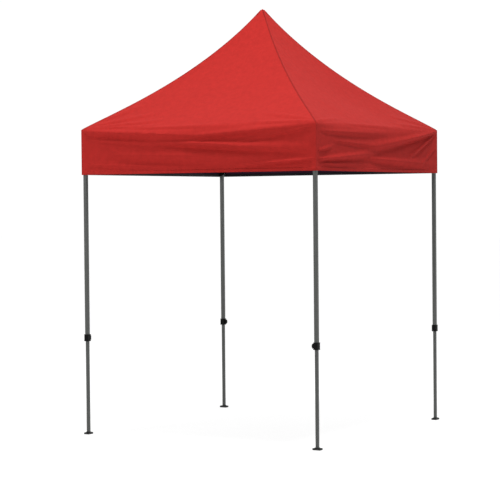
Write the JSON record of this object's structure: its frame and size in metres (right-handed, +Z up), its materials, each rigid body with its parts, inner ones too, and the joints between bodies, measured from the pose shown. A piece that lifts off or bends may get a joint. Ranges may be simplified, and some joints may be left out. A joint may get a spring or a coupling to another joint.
{
  "type": "pop up canopy",
  "caption": "Square pop up canopy: folding scissor frame on telescopic square legs, centre peak pole, pitched fabric roof with a straight valance.",
  "frame": {"origin": "centre of the square plan, on the ground under the feet", "axes": "+Z up, front side faces -Y, right side faces +X"},
  "size_m": [1.846, 1.846, 2.942],
  "materials": {
    "red_polyester": "matte",
    "strut_steel": "satin",
    "grey_steel": "satin",
    "inner_steel": "satin",
    "black_nylon": "satin"
  },
  "bodies": {
    "root": {"hub_upper": "black_nylon", "canopy_cover": "red_polyester"},
    "hub_lower": {"hub_lower": "black_nylon", "peak_pole": "grey_steel"},
    "arm_front_high": {"arm_front_high": "strut_steel"},
    "arm_front_low": {"arm_front_low": "strut_steel"},
    "middle_front_lower": {"middle_connector_front_lower": "black_nylon"},
    "middle_front_upper": {"middle_connector_front_upper": "black_nylon"},
    "strut_front_outer_a": {"strut_front_outer_a": "strut_steel"},
    "strut_front_inner_a": {"strut_front_inner_a": "strut_steel"},
    "leg_front_right": {"outer_leg_front_right": "grey_steel", "height_collar_front_right": "black_nylon"},
    "slider_front_right": {"slider_front_right": "black_nylon"},
    "inner_leg_front_right": {"inner_leg_front_right": "inner_steel"},
    "height_button_front_right": {"height_button_front_right": "black_nylon"},
    "slider_pin_front_right": {"slider_pin_front_right": "black_nylon"},
    "strut_front_outer_b": {"strut_front_outer_b": "strut_steel"},
    "strut_front_inner_b": {"strut_front_inner_b": "strut_steel"},
    "arm_right_high": {"arm_right_high": "strut_steel"},
    "arm_right_low": {"arm_right_low": "strut_steel"},
    "middle_right_lower": {"middle_connector_right_lower": "black_nylon"},
    "middle_right_upper": {"middle_connector_right_upper": "black_nylon"},
    "strut_right_outer_a": {"strut_right_outer_a": "strut_steel"},
    "strut_right_inner_a": {"strut_right_inner_a": "strut_steel"},
    "leg_rear_right": {"outer_leg_rear_right": "grey_steel", "height_collar_rear_right": "black_nylon"},
    "slider_rear_right": {"slider_rear_right": "black_nylon"},
    "inner_leg_rear_right": {"inner_leg_rear_right": "inner_steel"},
    "height_button_rear_right": {"height_button_rear_right": "black_nylon"},
    "slider_pin_rear_right": {"slider_pin_rear_right": "black_nylon"},
    "strut_right_outer_b": {"strut_right_outer_b": "strut_steel"},
    "strut_right_inner_b": {"strut_right_inner_b": "strut_steel"},
    "arm_rear_high": {"arm_rear_high": "strut_steel"},
    "arm_rear_low": {"arm_rear_low": "strut_steel"},
    "middle_rear_lower": {"middle_connector_rear_lower": "black_nylon"},
    "middle_rear_upper": {"middle_connector_rear_upper": "black_nylon"},
    "strut_rear_outer_a": {"strut_rear_outer_a": "strut_steel"},
    "strut_rear_inner_a": {"strut_rear_inner_a": "strut_steel"},
    "leg_rear_left": {"outer_leg_rear_left": "grey_steel", "height_collar_rear_left": "black_nylon"},
    "slider_rear_left": {"slider_rear_left": "black_nylon"},
    "inner_leg_rear_left": {"inner_leg_rear_left": "inner_steel"},
    "height_button_rear_left": {"height_button_rear_left": "black_nylon"},
    "slider_pin_rear_left": {"slider_pin_rear_left": "black_nylon"},
    "strut_rear_outer_b": {"strut_rear_outer_b": "strut_steel"},
    "strut_rear_inner_b": {"strut_rear_inner_b": "strut_steel"},
    "arm_left_high": {"arm_left_high": "strut_steel"},
    "arm_left_low": {"arm_left_low": "strut_steel"},
    "middle_left_lower": {"middle_connector_left_lower": "black_nylon"},
    "middle_left_upper": {"middle_connector_left_upper": "black_nylon"},
    "strut_left_outer_a": {"strut_left_outer_a": "strut_steel"},
    "strut_left_inner_a": {"strut_left_inner_a": "strut_steel"},
    "leg_front_left": {"outer_leg_front_left": "grey_steel", "height_collar_front_left": "black_nylon"},
    "slider_front_left": {"slider_front_left": "black_nylon"},
    "inner_leg_front_left": {"inner_leg_front_left": "inner_steel"},
    "height_button_front_left": {"height_button_front_left": "black_nylon"},
    "slider_pin_front_left": {"slider_pin_front_left": "black_nylon"},
    "strut_left_outer_b": {"strut_left_outer_b": "strut_steel"},
    "strut_left_inner_b": {"strut_left_inner_b": "strut_steel"}
  },
  "joints": [
    {"name": "fold", "type": "hinge", "parent": "root", "child": "arm_front_high", "pos_m": [-0.0055, -0.0245, 2.062], "axis": [1, 0, 0], "range_deg": [0, 71.5]},
    {"name": "arm_front_low_turn", "type": "hinge", "parent": "arm_front_high", "child": "arm_front_low", "pos_m": [0, -0.447, 1.9495], "axis": [1, 0, 0], "range_deg": [-143, 0]},
    {"name": "middle_front_lower_turn", "type": "hinge", "parent": "arm_front_high", "child": "middle_front_lower", "pos_m": [-0.0055, -0.8695, 1.837], "axis": [1, 0, 0], "range_deg": [-71.5, 0]},
    {"name": "middle_front_upper_turn", "type": "hinge", "parent": "arm_front_low", "child": "middle_front_upper", "pos_m": [0.0055, -0.8695, 2.062], "axis": [1, 0, 0], "range_deg": [0, 71.5]},
    {"name": "hub_lower_turn", "type": "hinge", "parent": "arm_front_low", "child": "hub_lower", "pos_m": [0.0055, -0.0245, 1.837], "axis": [1, 0, 0], "range_deg": [0, 71.5]},
    {"name": "strut_front_outer_a_turn", "type": "hinge", "parent": "middle_front_lower", "child": "strut_front_outer_a", "pos_m": [0.0225, -0.9015, 1.837], "axis": [0, 1, 0], "range_deg": [-71.5, 0]},
    {"name": "strut_front_inner_a_turn", "type": "hinge", "parent": "strut_front_outer_a", "child": "strut_front_inner_a", "pos_m": [0.445, -0.896, 1.9495], "axis": [0, 1, 0], "range_deg": [0, 143]},
    {"name": "leg_front_right_turn", "type": "hinge", "parent": "strut_front_outer_a", "child": "leg_front_right", "pos_m": [0.8675, -0.9015, 2.062], "axis": [0, 1, 0], "range_deg": [0, 71.5]},
    {"name": "slider_front_right_turn", "type": "hinge", "parent": "strut_front_inner_a", "child": "slider_front_right", "pos_m": [0.8675, -0.8905, 1.837], "axis": [0, 1, 0], "range_deg": [-71.5, 0]},
    {"name": "strut_front_outer_b_turn", "type": "hinge", "parent": "middle_front_lower", "child": "strut_front_outer_b", "pos_m": [-0.0225, -0.9015, 1.837], "axis": [0, -1, 0], "range_deg": [-71.5, 0]},
    {"name": "strut_front_inner_b_turn", "type": "hinge", "parent": "strut_front_outer_b", "child": "strut_front_inner_b", "pos_m": [-0.445, -0.896, 1.9495], "axis": [0, -1, 0], "range_deg": [0, 143]},
    {"name": "arm_right_high_turn", "type": "hinge", "parent": "root", "child": "arm_right_high", "pos_m": [0.0245, -0.0055, 2.062], "axis": [0, 1, 0], "range_deg": [0, 71.5]},
    {"name": "arm_right_low_turn", "type": "hinge", "parent": "arm_right_high", "child": "arm_right_low", "pos_m": [0.447, 0, 1.9495], "axis": [0, 1, 0], "range_deg": [-143, 0]},
    {"name": "middle_right_lower_turn", "type": "hinge", "parent": "arm_right_high", "child": "middle_right_lower", "pos_m": [0.8695, -0.0055, 1.837], "axis": [0, 1, 0], "range_deg": [-71.5, 0]},
    {"name": "middle_right_upper_turn", "type": "hinge", "parent": "arm_right_low", "child": "middle_right_upper", "pos_m": [0.8695, 0.0055, 2.062], "axis": [0, 1, 0], "range_deg": [0, 71.5]},
    {"name": "strut_right_outer_a_turn", "type": "hinge", "parent": "middle_right_lower", "child": "strut_right_outer_a", "pos_m": [0.9015, 0.0225, 1.837], "axis": [-1, 0, 0], "range_deg": [-71.5, 0]},
    {"name": "strut_right_inner_a_turn", "type": "hinge", "parent": "strut_right_outer_a", "child": "strut_right_inner_a", "pos_m": [0.896, 0.445, 1.9495], "axis": [-1, 0, 0], "range_deg": [0, 143]},
    {"name": "leg_rear_right_turn", "type": "hinge", "parent": "strut_right_outer_a", "child": "leg_rear_right", "pos_m": [0.9015, 0.8675, 2.062], "axis": [-1, 0, 0], "range_deg": [0, 71.5]},
    {"name": "slider_rear_right_turn", "type": "hinge", "parent": "strut_right_inner_a", "child": "slider_rear_right", "pos_m": [0.8905, 0.8675, 1.837], "axis": [-1, 0, 0], "range_deg": [-71.5, 0]},
    {"name": "strut_right_outer_b_turn", "type": "hinge", "parent": "middle_right_lower", "child": "strut_right_outer_b", "pos_m": [0.9015, -0.0225, 1.837], "axis": [1, 0, 0], "range_deg": [-71.5, 0]},
    {"name": "strut_right_inner_b_turn", "type": "hinge", "parent": "strut_right_outer_b", "child": "strut_right_inner_b", "pos_m": [0.896, -0.445, 1.9495], "axis": [1, 0, 0], "range_deg": [0, 143]},
    {"name": "arm_rear_high_turn", "type": "hinge", "parent": "root", "child": "arm_rear_high", "pos_m": [0.0055, 0.0245, 2.062], "axis": [-1, 0, 0], "range_deg": [0, 71.5]},
    {"name": "arm_rear_low_turn", "type": "hinge", "parent": "arm_rear_high", "child": "arm_rear_low", "pos_m": [0, 0.447, 1.9495], "axis": [-1, 0, 0], "range_deg": [-143, 0]},
    {"name": "middle_rear_lower_turn", "type": "hinge", "parent": "arm_rear_high", "child": "middle_rear_lower", "pos_m": [0.0055, 0.8695, 1.837], "axis": [-1, 0, 0], "range_deg": [-71.5, 0]},
    {"name": "middle_rear_upper_turn", "type": "hinge", "parent": "arm_rear_low", "child": "middle_rear_upper", "pos_m": [-0.0055, 0.8695, 2.062], "axis": [-1, 0, 0], "range_deg": [0, 71.5]},
    {"name": "strut_rear_outer_a_turn", "type": "hinge", "parent": "middle_rear_lower", "child": "strut_rear_outer_a", "pos_m": [-0.0225, 0.9015, 1.837], "axis": [0, -1, 0], "range_deg": [-71.5, 0]},
    {"name": "strut_rear_inner_a_turn", "type": "hinge", "parent": "strut_rear_outer_a", "child": "strut_rear_inner_a", "pos_m": [-0.445, 0.896, 1.9495], "axis": [0, -1, 0], "range_deg": [0, 143]},
    {"name": "leg_rear_left_turn", "type": "hinge", "parent": "strut_rear_outer_a", "child": "leg_rear_left", "pos_m": [-0.8675, 0.9015, 2.062], "axis": [0, -1, 0], "range_deg": [0, 71.5]},
    {"name": "slider_rear_left_turn", "type": "hinge", "parent": "strut_rear_inner_a", "child": "slider_rear_left", "pos_m": [-0.8675, 0.8905, 1.837], "axis": [0, -1, 0], "range_deg": [-71.5, 0]},
    {"name": "strut_rear_outer_b_turn", "type": "hinge", "parent": "middle_rear_lower", "child": "strut_rear_outer_b", "pos_m": [0.0225, 0.9015, 1.837], "axis": [0, 1, 0], "range_deg": [-71.5, 0]},
    {"name": "strut_rear_inner_b_turn", "type": "hinge", "parent": "strut_rear_outer_b", "child": "strut_rear_inner_b", "pos_m": [0.445, 0.896, 1.9495], "axis": [0, 1, 0], "range_deg": [0, 143]},
    {"name": "arm_left_high_turn", "type": "hinge", "parent": "root", "child": "arm_left_high", "pos_m": [-0.0245, 0.0055, 2.062], "axis": [0, -1, 0], "range_deg": [0, 71.5]},
    {"name": "arm_left_low_turn", "type": "hinge", "parent": "arm_left_high", "child": "arm_left_low", "pos_m": [-0.447, 0, 1.9495], "axis": [0, -1, 0], "range_deg": [-143, 0]},
    {"name": "middle_left_lower_turn", "type": "hinge", "parent": "arm_left_high", "child": "middle_left_lower", "pos_m": [-0.8695, 0.0055, 1.837], "axis": [0, -1, 0], "range_deg": [-71.5, 0]},
    {"name": "middle_left_upper_turn", "type": "hinge", "parent": "arm_left_low", "child": "middle_left_upper", "pos_m": [-0.8695, -0.0055, 2.062], "axis": [0, -1, 0], "range_deg": [0, 71.5]},
    {"name": "strut_left_outer_a_turn", "type": "hinge", "parent": "middle_left_lower", "child": "strut_left_outer_a", "pos_m": [-0.9015, -0.0225, 1.837], "axis": [1, 0, 0], "range_deg": [-71.5, 0]},
    {"name": "strut_left_inner_a_turn", "type": "hinge", "parent": "strut_left_outer_a", "child": "strut_left_inner_a", "pos_m": [-0.896, -0.445, 1.9495], "axis": [1, 0, 0], "range_deg": [0, 143]},
    {"name": "leg_front_left_turn", "type": "hinge", "parent": "strut_left_outer_a", "child": "leg_front_left", "pos_m": [-0.9015, -0.8675, 2.062], "axis": [1, 0, 0], "range_deg": [0, 71.5]},
    {"name": "slider_front_left_turn", "type": "hinge", "parent": "strut_left_inner_a", "child": "slider_front_left", "pos_m": [-0.8905, -0.8675, 1.837], "axis": [1, 0, 0], "range_deg": [-71.5, 0]},
    {"name": "strut_left_outer_b_turn", "type": "hinge", "parent": "middle_left_lower", "child": "strut_left_outer_b", "pos_m": [-0.9015, 0.0225, 1.837], "axis": [-1, 0, 0], "range_deg": [-71.5, 0]},
    {"name": "strut_left_inner_b_turn", "type": "hinge", "parent": "strut_left_outer_b", "child": "strut_left_inner_b", "pos_m": [-0.896, 0.445, 1.9495], "axis": [-1, 0, 0], "range_deg": [0, 143]},
    {"name": "inner_leg_front_right_slide", "type": "slide", "parent": "leg_front_right", "child": "inner_leg_front_right", "axis": [0, 0, 1], "range_m": [0, 0.62]},
    {"name": "height_button_front_right_press", "type": "slide", "parent": "leg_front_right", "child": "height_button_front_right", "axis": [1, 0, 0], "range_m": [0, 0.004], "stiffness_N_per_m": 800, "springref_m": -0.002},
    {"name": "slider_pin_front_right_pull", "type": "slide", "parent": "slider_front_right", "child": "slider_pin_front_right", "axis": [-1, 0, 0], "range_m": [0, 0.006], "stiffness_N_per_m": 800, "springref_m": -0.002},
    {"name": "inner_leg_rear_right_slide", "type": "slide", "parent": "leg_rear_right", "child": "inner_leg_rear_right", "axis": [0, 0, 1], "range_m": [0, 0.62]},
    {"name": "height_button_rear_right_press", "type": "slide", "parent": "leg_rear_right", "child": "height_button_rear_right", "axis": [0, 1, 0], "range_m": [0, 0.004], "stiffness_N_per_m": 800, "springref_m": -0.002},
    {"name": "slider_pin_rear_right_pull", "type": "slide", "parent": "slider_rear_right", "child": "slider_pin_rear_right", "axis": [0, -1, 0], "range_m": [0, 0.006], "stiffness_N_per_m": 800, "springref_m": -0.002},
    {"name": "inner_leg_rear_left_slide", "type": "slide", "parent": "leg_rear_left", "child": "inner_leg_rear_left", "axis": [0, 0, 1], "range_m": [0, 0.62]},
    {"name": "height_button_rear_left_press", "type": "slide", "parent": "leg_rear_left", "child": "height_button_rear_left", "axis": [-1, 0, 0], "range_m": [0, 0.004], "stiffness_N_per_m": 800, "springref_m": -0.002},
    {"name": "slider_pin_rear_left_pull", "type": "slide", "parent": "slider_rear_left", "child": "slider_pin_rear_left", "axis": [1, 0, 0], "range_m": [0, 0.006], "stiffness_N_per_m": 800, "springref_m": -0.002},
    {"name": "inner_leg_front_left_slide", "type": "slide", "parent": "leg_front_left", "child": "inner_leg_front_left", "axis": [0, 0, 1], "range_m": [0, 0.62]},
    {"name": "height_button_front_left_press", "type": "slide", "parent": "leg_front_left", "child": "height_button_front_left", "axis": [0, -1, 0], "range_m": [0, 0.004], "stiffness_N_per_m": 800, "springref_m": -0.002},
    {"name": "slider_pin_front_left_pull", "type": "slide", "parent": "slider_front_left", "child": "slider_pin_front_left", "axis": [0, 1, 0], "range_m": [0, 0.006], "stiffness_N_per_m": 800, "springref_m": -0.002}
  ],
  "couplings": [
    {"joint": "arm_front_low_turn", "follows": "fold", "ratio": -2},
    {"joint": "middle_front_lower_turn", "follows": "fold", "ratio": -1},
    {"joint": "middle_front_upper_turn", "follows": "fold", "ratio": 1},
    {"joint": "hub_lower_turn", "follows": "fold", "ratio": 1},
    {"joint": "strut_front_outer_a_turn", "follows": "fold", "ratio": -1},
    {"joint": "strut_front_inner_a_turn", "follows": "fold", "ratio": 2},
    {"joint": "leg_front_right_turn", "follows": "fold", "ratio": 1},
    {"joint": "slider_front_right_turn", "follows": "fold", "ratio": -1},
    {"joint": "strut_front_outer_b_turn", "follows": "fold", "ratio": -1},
    {"joint": "strut_front_inner_b_turn", "follows": "fold", "ratio": 2},
    {"joint": "arm_right_high_turn", "follows": "fold", "ratio": 1},
    {"joint": "arm_right_low_turn", "follows": "fold", "ratio": -2},
    {"joint": "middle_right_lower_turn", "follows": "fold", "ratio": -1},
    {"joint": "middle_right_upper_turn", "follows": "fold", "ratio": 1},
    {"joint": "strut_right_outer_a_turn", "follows": "fold", "ratio": -1},
    {"joint": "strut_right_inner_a_turn", "follows": "fold", "ratio": 2},
    {"joint": "leg_rear_right_turn", "follows": "fold", "ratio": 1},
    {"joint": "slider_rear_right_turn", "follows": "fold", "ratio": -1},
    {"joint": "strut_right_outer_b_turn", "follows": "fold", "ratio": -1},
    {"joint": "strut_right_inner_b_turn", "follows": "fold", "ratio": 2},
    {"joint": "arm_rear_high_turn", "follows": "fold", "ratio": 1},
    {"joint": "arm_rear_low_turn", "follows": "fold", "ratio": -2},
    {"joint": "middle_rear_lower_turn", "follows": "fold", "ratio": -1},
    {"joint": "middle_rear_upper_turn", "follows": "fold", "ratio": 1},
    {"joint": "strut_rear_outer_a_turn", "follows": "fold", "ratio": -1},
    {"joint": "strut_rear_inner_a_turn", "follows": "fold", "ratio": 2},
    {"joint": "leg_rear_left_turn", "follows": "fold", "ratio": 1},
    {"joint": "slider_rear_left_turn", "follows": "fold", "ratio": -1},
    {"joint": "strut_rear_outer_b_turn", "follows": "fold", "ratio": -1},
    {"joint": "strut_rear_inner_b_turn", "follows": "fold", "ratio": 2},
    {"joint": "arm_left_high_turn", "follows": "fold", "ratio": 1},
    {"joint": "arm_left_low_turn", "follows": "fold", "ratio": -2},
    {"joint": "middle_left_lower_turn", "follows": "fold", "ratio": -1},
    {"joint": "middle_left_upper_turn", "follows": "fold", "ratio": 1},
    {"joint": "strut_left_outer_a_turn", "follows": "fold", "ratio": -1},
    {"joint": "strut_left_inner_a_turn", "follows": "fold", "ratio": 2},
    {"joint": "leg_front_left_turn", "follows": "fold", "ratio": 1},
    {"joint": "slider_front_left_turn", "follows": "fold", "ratio": -1},
    {"joint": "strut_left_outer_b_turn", "follows": "fold", "ratio": -1},
    {"joint": "strut_left_inner_b_turn", "follows": "fold", "ratio": 2}
  ]
}
